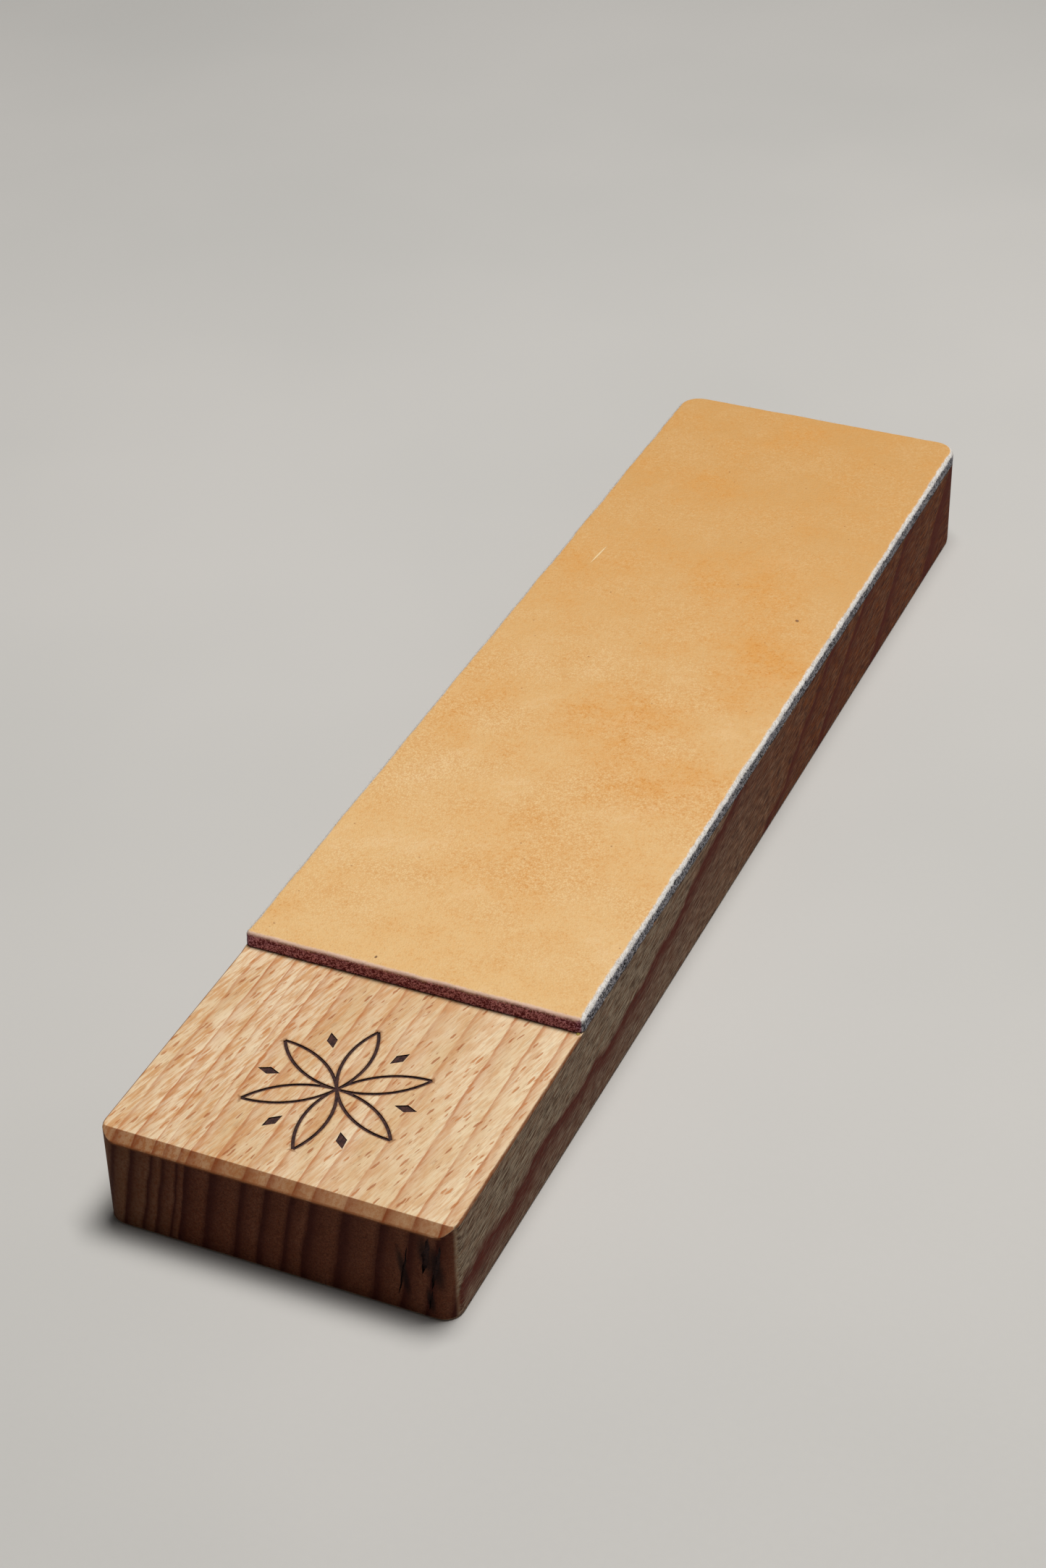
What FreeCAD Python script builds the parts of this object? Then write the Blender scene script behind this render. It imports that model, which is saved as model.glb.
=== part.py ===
import FreeCAD, Part
import math
import os

# Bench strop: a planed beech block with a strip of leather glued on top.
# One end of the block stays bare as a grip.
#
# Frame, in millimetres: the origin is the centre of the block's underside, X runs
# across the block, +Y runs along it from the bare grip towards the far end, +Z is up.

# Block
BLOCK_LENGTH = 270.0
BLOCK_WIDTH = 65.0
BLOCK_HEIGHT = 20.0
GRIP_LENGTH = 53.0          # bare wood between the grip end and the leather
GRIP_CORNER_RADIUS = 3.5    # upright corners at the grip end
FAR_CORNER_RADIUS = 4.8     # upright corners at the far end, block and leather alike
GRIP_CHAMFER = 1.8          # bevel along the top of the grip's end face
GRIP_EASING = 0.35          # sanded bevel along the grip's two long top edges
UNDERSIDE_EASING = 0.6      # bevel all round the underside

# Leather and the film of contact adhesive under it
LEATHER_THICKNESS = 3.0
LEATHER_FRONT_CORNER_RADIUS = 1.2
LEATHER_SIDE_ROUNDING = 1.3   # worn top edge along the sides and the far end
LEATHER_FRONT_ROUNDING = 0.7  # crisper top edge facing the grip
GLUE_THICKNESS = 0.2
GLUE_INSET = 0.3              # the film stops just short of the leather's edges
GLUE_BEAD_RADIUS = 0.7        # where adhesive has squeezed out at the front corner
GLUE_BEAD_FROM_SIDE = 1.0

# Rosette burnt into the grip: arcs that cross as petals, with a lozenge in each gap
ROSETTE_FROM_END = 24.4
ROSETTE_RADIUS = 16.0
ROSETTE_PETALS = 6
ROSETTE_DEPTH = 0.25
ROSETTE_LINE = 0.6
LOZENGE_CENTRE = 0.80       # distance from the rosette's centre, as a share of its radius
LOZENGE_HALF_LENGTH = 2.1
LOZENGE_HALF_WIDTH = 0.95

CUTTER_OVERRUN = 1.0        # how far a cutting solid stands clear of the face it cuts
SAME_PLACE = 1e-6           # two positions closer than this are the same

GRIP_END_Y = -BLOCK_LENGTH / 2
FAR_END_Y = BLOCK_LENGTH / 2
LEATHER_FRONT_Y = GRIP_END_Y + GRIP_LENGTH
LEATHER_UNDERSIDE_Z = BLOCK_HEIGHT + GLUE_THICKNESS
LEATHER_TOP_Z = LEATHER_UNDERSIDE_Z + LEATHER_THICKNESS


def rounded_slab(half_width, front_y, far_y, bottom_z, height, front_radius, far_radius):
    """Upright slab whose outline is a rectangle with rounded corners."""
    corners = [
        (half_width, far_y, far_radius),
        (-half_width, far_y, far_radius),
        (-half_width, front_y, front_radius),
        (half_width, front_y, front_radius),
    ]
    low_corner = FreeCAD.Vector(-half_width, front_y, bottom_z)
    slab = Part.makeBox(2 * half_width, far_y - front_y, height, low_corner)
    for x, y, radius in corners:
        if radius > 0:
            edges = [edge for edge in slab.Edges if is_upright_at(edge, x, y)]
            slab = slab.makeFillet(radius, edges)
    return slab


def is_upright_at(edge, x, y):
    """True for a vertical straight edge that stands at (x, y)."""
    return all(math.hypot(v.X - x, v.Y - y) < SAME_PLACE for v in edge.Vertexes)


def is_level_at(edge, z):
    """True for an edge that lies wholly at height z."""
    return all(abs(v.Z - z) < SAME_PLACE for v in edge.Vertexes)


def is_across_at(edge, y):
    """True for an edge that runs straight across the block at y."""
    return all(abs(v.Y - y) < SAME_PLACE for v in edge.Vertexes)


def bevel_cutter(start, along, outward, leg):
    """Triangular prism that bevels an edge at 45 degrees, leg millimetres into each face."""
    reach = CUTTER_OVERRUN
    up = FreeCAD.Vector(0, 0, 1)
    points = [
        start - outward * (leg + reach) + up * reach,
        start + outward * reach - up * (leg + reach),
        start + outward * reach + up * reach,
    ]
    face = Part.Face(Part.makePolygon(points + points[:1]))
    return face.extrude(along)


def grip_bevels():
    """Cutters for the end bevel and for the lighter bevels along the grip's sides."""
    top = BLOCK_HEIGHT
    half_width = BLOCK_WIDTH / 2
    end_start = FreeCAD.Vector(-half_width - CUTTER_OVERRUN, GRIP_END_Y, top)
    end_run = FreeCAD.Vector(BLOCK_WIDTH + 2 * CUTTER_OVERRUN, 0, 0)
    cutters = [bevel_cutter(end_start, end_run, FreeCAD.Vector(0, -1, 0), GRIP_CHAMFER)]
    for side in (-1, 1):
        side_start = FreeCAD.Vector(side * half_width, GRIP_END_Y - CUTTER_OVERRUN, top)
        side_run = FreeCAD.Vector(0, GRIP_LENGTH + CUTTER_OVERRUN, 0)
        cutters.append(bevel_cutter(side_start, side_run, FreeCAD.Vector(side, 0, 0), GRIP_EASING))
    return cutters


def lozenge(centre, direction, height):
    """Small upright prism with a diamond outline, long way along direction."""
    across = FreeCAD.Vector(-direction.y, direction.x, 0)
    points = [
        centre + direction * LOZENGE_HALF_LENGTH,
        centre + across * LOZENGE_HALF_WIDTH,
        centre - direction * LOZENGE_HALF_LENGTH,
        centre - across * LOZENGE_HALF_WIDTH,
    ]
    face = Part.Face(Part.makePolygon(points + points[:1]))
    return face.extrude(FreeCAD.Vector(0, 0, height))


def rosette_cutters():
    """Shallow cutters for the rosette, one ring segment and one lozenge per petal."""
    height = ROSETTE_DEPTH + CUTTER_OVERRUN
    middle = FreeCAD.Vector(0, GRIP_END_Y + ROSETTE_FROM_END, BLOCK_HEIGHT - ROSETTE_DEPTH)
    disc = Part.makeCylinder(ROSETTE_RADIUS, height, middle)
    cutters = []
    for index in range(ROSETTE_PETALS):
        turn = 2 * math.pi * index / ROSETTE_PETALS
        rim = middle + FreeCAD.Vector(math.sin(turn), math.cos(turn), 0) * ROSETTE_RADIUS
        outer = Part.makeCylinder(ROSETTE_RADIUS + ROSETTE_LINE / 2, height, rim)
        inner = Part.makeCylinder(ROSETTE_RADIUS - ROSETTE_LINE / 2, height, rim)
        cutters.append(outer.cut(inner).common(disc))
        between = turn + math.pi / ROSETTE_PETALS
        outward = FreeCAD.Vector(math.sin(between), math.cos(between), 0)
        spot = middle + outward * (LOZENGE_CENTRE * ROSETTE_RADIUS)
        cutters.append(lozenge(spot, outward, height))
    return cutters


def make_wood_block():
    """Beech block with its bevels and the burnt rosette's shallow grooves."""
    block = rounded_slab(BLOCK_WIDTH / 2, GRIP_END_Y, FAR_END_Y, 0, BLOCK_HEIGHT,
                         GRIP_CORNER_RADIUS, FAR_CORNER_RADIUS)
    underside_edges = [edge for edge in block.Edges if is_level_at(edge, 0)]
    block = block.makeChamfer(UNDERSIDE_EASING, underside_edges)
    for cutter in grip_bevels():
        block = block.cut(cutter)
    rosette = rosette_cutters()
    return block.cut(rosette[0].fuse(rosette[1:]))


def make_adhesive_layer():
    """Thin film under the leather, with one small bead squeezed out at the front corner."""
    film = rounded_slab(BLOCK_WIDTH / 2 - GLUE_INSET, LEATHER_FRONT_Y + GLUE_INSET,
                        FAR_END_Y - GLUE_INSET, BLOCK_HEIGHT, GLUE_THICKNESS,
                        LEATHER_FRONT_CORNER_RADIUS, FAR_CORNER_RADIUS)
    bead_x = BLOCK_WIDTH / 2 - GLUE_BEAD_FROM_SIDE
    bead_spot = FreeCAD.Vector(bead_x, LEATHER_FRONT_Y, BLOCK_HEIGHT)
    bead = Part.makeCylinder(GLUE_BEAD_RADIUS, GLUE_THICKNESS, bead_spot)
    return film.fuse(bead).removeSplitter()


def make_leather_strip():
    """Leather pad, flush with the block's sides and far end, its top edges worn round."""
    half_width = BLOCK_WIDTH / 2
    strip = rounded_slab(half_width, LEATHER_FRONT_Y, FAR_END_Y, LEATHER_UNDERSIDE_Z,
                         LEATHER_THICKNESS, 0, FAR_CORNER_RADIUS)
    for rounding, at_front in ((LEATHER_SIDE_ROUNDING, False), (LEATHER_FRONT_ROUNDING, True)):
        top_edges = [edge for edge in strip.Edges if is_level_at(edge, LEATHER_TOP_Z)]
        chosen = [e for e in top_edges if is_across_at(e, LEATHER_FRONT_Y) == at_front]
        strip = strip.makeFillet(rounding, chosen)
    outline = rounded_slab(half_width, LEATHER_FRONT_Y, FAR_END_Y, LEATHER_UNDERSIDE_Z,
                           LEATHER_THICKNESS, LEATHER_FRONT_CORNER_RADIUS, FAR_CORNER_RADIUS)
    return strip.common(outline)


os.makedirs("parts", exist_ok=True)
pieces = {
    "wood_block": make_wood_block(),
    "adhesive_layer": make_adhesive_layer(),
    "leather_strip": make_leather_strip(),
}
for name, shape in pieces.items():
    shape.exportStep(f"parts/{name}.step")
    box = shape.optimalBoundingBox()
    print(f"{name}: {len(shape.Solids)} solid, valid {shape.isValid()}, {shape.Volume:.0f} mm3, "
          f"x {box.XMin:.2f}..{box.XMax:.2f}, y {box.YMin:.2f}..{box.YMax:.2f}, "
          f"z {box.ZMin:.2f}..{box.ZMax:.2f}")
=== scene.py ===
import math
import random

import bmesh
import bpy
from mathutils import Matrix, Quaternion, Vector, noise


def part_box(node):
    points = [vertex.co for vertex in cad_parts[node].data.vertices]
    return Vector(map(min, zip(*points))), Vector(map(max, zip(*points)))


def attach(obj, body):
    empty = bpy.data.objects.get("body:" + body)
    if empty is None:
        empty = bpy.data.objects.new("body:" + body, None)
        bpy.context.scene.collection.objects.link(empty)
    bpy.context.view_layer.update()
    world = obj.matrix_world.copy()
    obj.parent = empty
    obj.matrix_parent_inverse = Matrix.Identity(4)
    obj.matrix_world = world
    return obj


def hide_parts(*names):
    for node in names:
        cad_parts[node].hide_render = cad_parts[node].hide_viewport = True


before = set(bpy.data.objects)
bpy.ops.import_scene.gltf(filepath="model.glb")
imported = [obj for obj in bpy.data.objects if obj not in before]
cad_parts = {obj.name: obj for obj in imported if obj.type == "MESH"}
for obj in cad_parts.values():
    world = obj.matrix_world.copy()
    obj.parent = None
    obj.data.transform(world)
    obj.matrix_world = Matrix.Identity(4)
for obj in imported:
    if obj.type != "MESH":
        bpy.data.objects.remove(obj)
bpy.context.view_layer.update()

# The looks of a bench strop: a beech block, a glued leather pad, the dried adhesive
# between them and the fibres on the leather's cut edges. Everything is in metres, and
# MM turns millimetres into metres.
MM = 0.001

BLOCK_LOW, BLOCK_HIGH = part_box("wood_block")
GLUE_LOW, GLUE_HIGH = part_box("adhesive_layer")
LEATHER_LOW, LEATHER_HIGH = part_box("leather_strip")

# Block: upright corners, bevels and softened arrises
GRIP_CORNER_RADIUS = 3.5 * MM
FAR_CORNER_RADIUS = 4.8 * MM
GRIP_CHAMFER = 1.8 * MM
GRIP_EASING = 0.35 * MM
GRIP_EASING_RUN_OUT = 1.0 * MM
UNDERSIDE_EASING = 0.6 * MM
ARRIS_SOFTENING = 0.15 * MM

# Rosette burnt into the grip
ROSETTE_FROM_END = 24.4 * MM
ROSETTE_RADIUS = 16.0 * MM
ROSETTE_PETALS = 6
ROSETTE_DEPTH = 0.25 * MM
ROSETTE_LINE = 0.6 * MM
LOZENGE_CENTRE = 0.80
LOZENGE_HALF_LENGTH = 2.1 * MM
LOZENGE_HALF_WIDTH = 0.95 * MM
ROSETTE_CENTRE = Vector((0, BLOCK_LOW.y + ROSETTE_FROM_END, BLOCK_HIGH.z))

# Drying checks in the grip's end face, along the growth rings: how far right of the middle,
# lowest and highest point, and greatest width, in millimetres
END_CHECKS = ((24.4, 3.5, 14.5, 0.40), (28.3, 9.5, 17.8, 1.0), (30.2, 6.5, 16.6, 0.8),
              (28.6, 1.8, 6.5, 0.35))
CHECK_DEPTH = 0.6 * MM
CHECK_LEAN = 0.17            # sideways for each millimetre of height

CUTTER_OVERRUN = 1 * MM      # how far a cutting prism stands clear of the face it cuts

# Adhesive: the film's edge as shares of its thickness with insets in millimetres, how far
# and over what length that edge wanders, and the bead at the leather's front right corner
FILM_SECTION = ((0, 0.16), (0.35, 0.12), (0.7, 0.12), (1, 0.16))
FILM_WANDER = 0.1 * MM
FILM_WANDER_LENGTH = 3.1 * MM
BEAD_PLACE = Vector((BLOCK_HIGH.x - 0.75 * MM, LEATHER_LOW.y - 0.05 * MM, BLOCK_HIGH.z))
BEAD_HALF_WIDTH = 0.32 * MM
BEAD_HALF_LENGTH = 0.4 * MM
BEAD_HEIGHT = 0.2 * MM

# Leather: how far its top edge is worn round, and the corner facing the grip
LEATHER_FRONT_CORNER_RADIUS = 1.2 * MM
SIDE_ROUNDING = 1.3 * MM
FRONT_ROUNDING = 0.7 * MM
ROUNDING_CHANGE = 1.5 * MM   # length over which one rounding turns into the other
ROUNDING_WANDER = 0.16       # share by which the rounding comes and goes
ROUNDING_WANDER_LENGTH = 9 * MM
PRESSED_DOWN = 0.18 * MM     # how far its cut edge reaches below its glued face
UNDERSIDE_INSET = 0.22 * MM  # how far in the glued face starts
LIP_INSET = 0.08 * MM        # and the pressed-down lip under the cut edge

# Roughness of the cut edge: the size of each unevenness, and how far it reaches in and out
EDGE_WAVE = (4.5 * MM, 0.09 * MM)
EDGE_LUMP = (1.3 * MM, 0.04 * MM)
COARSE_CURL = 0.52 * MM
FINE_CURL = 0.30 * MM
WORN_CURL_REACH = 0.02 * MM  # on the worn rim
RAW_CURL_REACH = 0.11 * MM   # added below the rim
FLAT_FADE = 0.5 * MM         # how far past the flat top all of it is in full
RIM_DEPTH = 0.9 * MM         # how far past the flat top the rim ends
RIM_FADE = 0.6 * MM          # length over which the rim gives way to the raw edge

# Stray fibres: where they start round the edge, in degrees above its wall, how many there
# are, how far their directions stray and curl, and their length and thickness
FIBRE_LOWEST, FIBRE_HIGHEST = -20, 62
FIBRE_TRIES = 2              # at each step of the outline
FIBRE_CHANCE = 0.55
TUFT_STRENGTH = 0.9
TUFT_SIZE = 2.6 * MM
ROOT_DEPTH = 0.05 * MM
FIBRE_STRAY = 0.55
FIBRE_CURL = 0.35
FIBRE_LONGEST = 0.9 * MM
FRONT_FIBRE_LENGTH = 0.6     # share of the others' length
FIBRE_THICKNESS = (0.012, 0.026)    # in millimetres

# Camera
LENS = 69.45
CAMERA_AIM = Vector((-6.7, -17.9, 20.0)) * MM
CAMERA_DISTANCE = 577 * MM
CAMERA_AZIMUTH = 24.53
CAMERA_ELEVATION = 35.25
CAMERA_ROLL = -1.42

# Stage and lights: places and sizes in metres, power in watts
FLOOR_RADIUS = 6.0
FLOOR_GAP = 0.02 * MM
KEY_LIGHT = {"place": Vector((0.12, 0.12, 1.20)), "width": 0.45, "power": 14.6,
             "colour": (1.0, 0.97, 0.93)}
FILL_LIGHT = {"place": Vector((1.3, -0.5, 0.9)), "width": 0.8, "power": 0.35,
              "colour": (1.0, 0.98, 0.95)}
SURROUND_COLOUR = (0.84, 0.83, 0.82, 1)
SURROUND_STRENGTH = 0.06


# -------------------- mesh helpers

def new_object(name, vertices, faces):
    """Object with a fresh mesh, linked to the scene and shaded smooth."""
    mesh = bpy.data.meshes.new(name)
    mesh.from_pydata([tuple(v) for v in vertices], [], faces)
    mesh.validate()
    mesh.shade_smooth()
    piece = bpy.data.objects.new(name, mesh)
    bpy.context.scene.collection.objects.link(piece)
    return piece


def apply_modifiers(piece):
    """Turns a piece's modifiers into plain mesh."""
    depsgraph = bpy.context.evaluated_depsgraph_get()
    shaped = bpy.data.meshes.new_from_object(piece.evaluated_get(depsgraph))
    piece.modifiers.clear()
    piece.data = shaped


def rounded_outline(low, high, near_radius, far_radius, spacing):
    """Anticlockwise outline of a rectangle with rounded corners, seen from above.

    Gives a list of (point, outward normal), with the arcs and the straights both divided
    into steps of about the given spacing.
    """
    corners = [
        (Vector((high.x, low.y)), Vector((-1, 1)), near_radius, -90),
        (Vector((high.x, high.y)), Vector((-1, -1)), far_radius, 0),
        (Vector((low.x, high.y)), Vector((1, -1)), far_radius, 90),
        (Vector((low.x, low.y)), Vector((1, 1)), near_radius, 180),
    ]
    outline = []
    for corner, inward, radius, start in corners:
        centre = corner + inward * radius
        steps = max(6, round(radius * math.pi / 2 / spacing))
        for step in range(steps + 1):
            angle = math.radians(start + 90 * step / steps)
            normal = Vector((math.cos(angle), math.sin(angle)))
            outline.append((centre + normal * radius, normal))
    full = []
    for here, there in zip(outline, outline[1:] + outline[:1]):
        full.append(here)
        gap = (there[0] - here[0]).length
        pieces = round(gap / spacing)
        if (here[1] - there[1]).length < 1e-6:
            for step in range(1, pieces):
                full.append((here[0].lerp(there[0], step / pieces), here[1]))
    return full


def skin_rings(name, rings):
    """Closed piece from rings of equally many points, lowest ring first, capped at both ends."""
    count = len(rings[0])
    vertices = [point for ring in rings for point in ring]
    faces = [tuple(reversed(range(count)))]
    for level in range(len(rings) - 1):
        base = level * count
        for i in range(count):
            j = (i + 1) % count
            faces.append((base + i, base + j, base + count + j, base + count + i))
    top = (len(rings) - 1) * count
    faces.append(tuple(range(top, top + count)))
    return new_object(name, vertices, faces)


def join(vertices, faces, shape):
    """Adds one shape, given as (vertices, faces), to a mesh's lists."""
    base = len(vertices)
    vertices += shape[0]
    faces += [tuple(base + i for i in face) for face in shape[1]]


def mend(piece, weld=0):
    """Points all faces outward, after merging what lies nearer than the weld distance."""
    shape = bmesh.new()
    shape.from_mesh(piece.data)
    if weld:
        bmesh.ops.remove_doubles(shape, verts=shape.verts, dist=weld)
        bmesh.ops.dissolve_degenerate(shape, edges=shape.edges, dist=weld)
    bmesh.ops.recalc_face_normals(shape, faces=shape.faces)
    shape.to_mesh(piece.data)
    shape.free()


def weight_normals(piece, angle):
    """Keeps flat faces flat in shading, with edges sharper than the angle left sharp."""
    piece.data.set_sharp_from_angle(angle=math.radians(angle))
    weighted = piece.modifiers.new("weighted normals", "WEIGHTED_NORMAL")
    weighted.keep_sharp = True
    weighted.weight = 100
    apply_modifiers(piece)


# -------------------- wood block

def block_rings():
    """Rings of the block from its underside to its top, bevels included."""
    outline = rounded_outline(BLOCK_LOW, BLOCK_HIGH, GRIP_CORNER_RADIUS, FAR_CORNER_RADIUS,
                              2 * MM)
    rings = []
    easing_steps = 4
    for step in range(easing_steps + 1):
        turn = math.pi / 2 * step / easing_steps
        inset = UNDERSIDE_EASING * (1 - math.sin(turn))
        height = UNDERSIDE_EASING * (1 - math.cos(turn))
        rings.append([(p.x - n.x * inset, p.y - n.y * inset, BLOCK_LOW.z + height)
                      for p, n in outline])
    lower, upper = [], []
    for p, n in outline:
        end_drop = max(GRIP_CHAMFER - (p.y - BLOCK_LOW.y), 0)
        run_out = (LEATHER_LOW.y - p.y) / GRIP_EASING_RUN_OUT
        side_drop = GRIP_EASING * min(max(run_out, 0), 1)
        lower.append((p.x, p.y, BLOCK_HIGH.z - max(end_drop, side_drop)))
        upper.append((p.x - n.x * side_drop,
                      max(p.y - n.y * side_drop, BLOCK_LOW.y + GRIP_CHAMFER),
                      BLOCK_HIGH.z))
    return rings + [lower, upper]


def prism(points, low, high, axis):
    """Vertices and faces of a prism over an outline given in the other two axes."""
    count = len(points)
    vertices = []
    for level in (low, high):
        for point in points:
            corner = list(point)
            corner.insert(axis, level)
            vertices.append(corner)
    faces = [tuple(reversed(range(count))), tuple(range(count, 2 * count))]
    for i in range(count):
        j = (i + 1) % count
        faces.append((i, j, count + j, count + i))
    return vertices, faces


def petal_arcs():
    """The middles of the circles that the petals' lines follow: (turn, place on the rim)."""
    for index in range(ROSETTE_PETALS):
        turn = 2 * math.pi * index / ROSETTE_PETALS
        yield turn, ROSETTE_CENTRE + Vector((math.sin(turn), math.cos(turn), 0)) * ROSETTE_RADIUS


def rosette_outlines():
    """Outlines of the rosette's burnt lines and lozenges, seen from above."""
    outlines = []
    for turn, rim in petal_arcs():
        to_middle = math.atan2(ROSETTE_CENTRE.y - rim.y, ROSETTE_CENTRE.x - rim.x)
        angles = [to_middle + math.radians(a) for a in range(-60, 61, 2)]
        arc = []
        for radius, order in ((ROSETTE_RADIUS + ROSETTE_LINE / 2, angles),
                              (ROSETTE_RADIUS - ROSETTE_LINE / 2, angles[::-1])):
            arc += [(rim.x + radius * math.cos(a), rim.y + radius * math.sin(a))
                    for a in order]
        outlines.append(arc)
        between = turn + math.pi / ROSETTE_PETALS
        along = Vector((math.sin(between), math.cos(between), 0))
        across = Vector((-along.y, along.x, 0))
        spot = ROSETTE_CENTRE + along * (LOZENGE_CENTRE * ROSETTE_RADIUS)
        diamond = [spot + along * LOZENGE_HALF_LENGTH, spot + across * LOZENGE_HALF_WIDTH,
                   spot - along * LOZENGE_HALF_LENGTH, spot - across * LOZENGE_HALF_WIDTH]
        outlines.append([(p.x, p.y) for p in diamond])
    return outlines


def check_outlines():
    """Ragged lens-shaped outlines of the drying checks, in X and Z."""
    outlines = []
    steps = 14
    for right, low, high, width in END_CHECKS:
        left_side, right_side = [], []
        for step in range(steps + 1):
            share = step / steps
            height = low + (high - low) * share
            middle = right - CHECK_LEAN * (high - height)
            middle += 0.25 * noise.noise(Vector((right, height / 1.6, 0)))
            half = 0.02 + width / 2 * math.sin(math.pi * share) ** 0.8
            half *= 1 + 0.5 * noise.noise(Vector((right, height / 0.9, 5)))
            left_side.append(((middle - half) * MM, height * MM))
            right_side.append(((middle + half) * MM, height * MM))
        outlines.append(right_side + left_side[::-1])
    return outlines


def cut(block, prisms):
    """Cuts prisms out of the block and gives the new faces its second material."""
    vertices, faces = [], []
    for one in prisms:
        join(vertices, faces, one)
    cutter = new_object("cutter", vertices, faces)
    mend(cutter)
    for material in block.data.materials:
        cutter.data.materials.append(material)
    cutter.data.polygons.foreach_set("material_index", [1] * len(cutter.data.polygons))
    difference = block.modifiers.new("cut", "BOOLEAN")
    difference.operation = "DIFFERENCE"
    difference.solver = "EXACT"
    difference.use_self = True
    difference.object = cutter
    apply_modifiers(block)
    bpy.data.objects.remove(cutter)


def make_block():
    block = skin_rings("beech_block", block_rings())
    mend(block, weld=0.005 * MM)
    soften = block.modifiers.new("arrises", "BEVEL")
    soften.width = ARRIS_SOFTENING
    soften.segments = 2
    soften.limit_method = "ANGLE"
    soften.angle_limit = math.radians(25)
    apply_modifiers(block)
    block.data.materials.append(beech_material())
    block.data.materials.append(scorch_and_check_shade_material())
    floor_of_burn, floor_of_check = BLOCK_HIGH.z - ROSETTE_DEPTH, BLOCK_LOW.y + CHECK_DEPTH
    cut(block, [prism(outline, floor_of_burn, BLOCK_HIGH.z + CUTTER_OVERRUN, axis=2)
                for outline in rosette_outlines()])
    # The checks' new faces get the second material, whose near-black is painted shade inside the
    # checks.
    cut(block, [prism(outline, BLOCK_LOW.y - CUTTER_OVERRUN, floor_of_check, axis=1)
                for outline in check_outlines()])
    weight_normals(block, 35)
    return block


# -------------------- leather pad

def leather_outline(spacing):
    return rounded_outline(LEATHER_LOW, LEATHER_HIGH, LEATHER_FRONT_CORNER_RADIUS,
                           FAR_CORNER_RADIUS, spacing)


def leather_rounding(point):
    """How far the top edge is worn round at a place on the outline. It wanders a little."""
    share = min(max((point.y - LEATHER_LOW.y) / ROUNDING_CHANGE, 0), 1)
    radius = FRONT_ROUNDING + (SIDE_ROUNDING - FRONT_ROUNDING) * share
    wander = noise.noise(Vector((point.x, point.y, 0)) / ROUNDING_WANDER_LENGTH)
    return radius * (1 + ROUNDING_WANDER * wander)


def leather_profile(point):
    """Section of the pad's edge at a place: (inset, height, distance past the flat top)."""
    radius = leather_rounding(point)
    bottom, top = LEATHER_LOW.z, LEATHER_HIGH.z
    wall = top - bottom - radius
    bend = radius * math.pi / 2
    lip = bottom - PRESSED_DOWN
    section = [(UNDERSIDE_INSET, bottom, bend + wall), (LIP_INSET, lip, bend + wall)]
    wall_steps = 11
    for step in range(wall_steps):
        height = (wall + PRESSED_DOWN) * (step + 0.4) / (wall_steps + 0.4)
        section.append((0, lip + height, bend + wall + PRESSED_DOWN - height))
    bend_steps = 11
    for step in range(bend_steps + 1):
        turn = math.pi / 2 * step / bend_steps
        section.append((radius * (1 - math.cos(turn)), top - radius * (1 - math.sin(turn)),
                        bend * (1 - step / bend_steps)))
    for inside in (0.15 * MM, 0.38 * MM):
        section.append((radius + inside, top, -inside))
    return section


def curled_fibres(place):
    """Ridges of the curled fibre ends on the cut edge: 1 on a ridge, 0 in a crevice."""
    coarse = 1 - 2.2 * abs(noise.noise(place / COARSE_CURL))
    fine = 1 - 2.2 * abs(noise.noise(place / FINE_CURL + Vector((7, 3, 5))))
    return min(max(0.55 * coarse + 0.45 * fine, 0), 1)


def ragged(place, depth, ridge):
    """Inward and outward roughness of the cut edge, fading out on the flat top."""
    fade = min(max(depth / FLAT_FADE, 0), 1)
    below_rim = min(max((depth - RIM_DEPTH) / RIM_FADE, 0), 1)
    push = (ridge - 0.5) * (WORN_CURL_REACH + RAW_CURL_REACH * below_rim)
    for size, reach in (EDGE_WAVE, EDGE_LUMP):
        push += noise.noise(place / size) * reach
    return fade * push


def make_leather():
    outline = leather_outline(0.21 * MM)
    sections = [leather_profile(point) for point, normal in outline]
    levels = len(sections[0])
    rings, past_flat, ridges = [], [], []
    for level in range(levels):
        ring = []
        for (point, normal), section in zip(outline, sections):
            inset, height, past = section[level]
            place = Vector((point.x - normal.x * inset, point.y - normal.y * inset, height))
            ridge = curled_fibres(place)
            push = ragged(place, past, ridge) if level > 0 else 0
            ring.append((place.x + normal.x * push, place.y + normal.y * push, place.z))
            past_flat.append(past / MM)
            ridges.append(ridge)
        rings.append(ring)
    pad = skin_rings("leather_pad", rings)
    for name, values in (("past_flat", past_flat), ("ridge", ridges)):
        pad.data.attributes.new(name, "FLOAT", "POINT").data.foreach_set("value", values)
    pad.data.materials.append(leather_material())
    weight_normals(pad, 60)
    return pad


# -------------------- fibres on the cut edge

def fibre(start, direction, bend, length, thickness):
    """One tapered three-sided fibre: vertices and faces."""
    side = direction.orthogonal().normalized()
    up = direction.cross(side)
    steps = 3
    vertices, faces = [], []
    for step in range(steps):
        share = step / steps
        middle = start + direction * (length * share) + bend * (length * share * share)
        for corner in range(3):
            angle = 2 * math.pi * corner / 3
            spread = side * math.cos(angle) + up * math.sin(angle)
            vertices.append(middle + spread * thickness * (1 - 0.6 * share))
    vertices.append(start + direction * length + bend * length)
    for step in range(steps - 1):
        for corner in range(3):
            a, b = 3 * step + corner, 3 * step + (corner + 1) % 3
            faces.append((a, b, b + 3, a + 3))
    last = 3 * (steps - 1)
    for corner in range(3):
        faces.append((last + corner, last + (corner + 1) % 3, 3 * steps))
    faces.append((2, 1, 0))
    return vertices, faces


def scatter(draw):
    """Random vector with no favoured direction."""
    return Vector((draw.gauss(0, 1), draw.gauss(0, 1), draw.gauss(0, 1)))


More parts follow.
